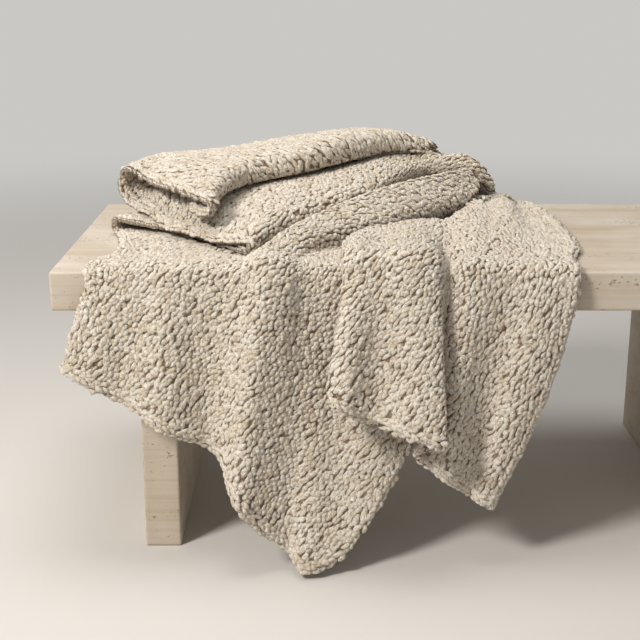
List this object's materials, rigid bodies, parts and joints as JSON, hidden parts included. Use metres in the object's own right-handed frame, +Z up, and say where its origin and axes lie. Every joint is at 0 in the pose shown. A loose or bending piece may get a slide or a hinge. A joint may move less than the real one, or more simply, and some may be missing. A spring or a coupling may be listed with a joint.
{
  "type": "chunky knit blanket over a stone bench",
  "caption": "Thick knitted throw, folded back and forth on a plain slab bench, with its loose half falling over the front edge in deep soft folds.",
  "frame": {"origin": "middle of the footprint of the bench and blanket together, at floor level", "axes": "+X along the bench, to the right seen from its front; +Y from the front, where the blanket falls, to the back; +Z up"},
  "size_m": [1.2, 0.6465, 0.6074],
  "materials": {
    "wool": "thick knitted wool, oatmeal with beige and grey flecks, matt and fuzzy",
    "stone": "honed travertine, cream, with faint layers and small pits"
  },
  "bodies": {
    "root": {"blanket": "wool", "bench_top": "stone", "bench_leg_left": "stone", "bench_leg_right": "stone"}
  },
  "joints": []
}
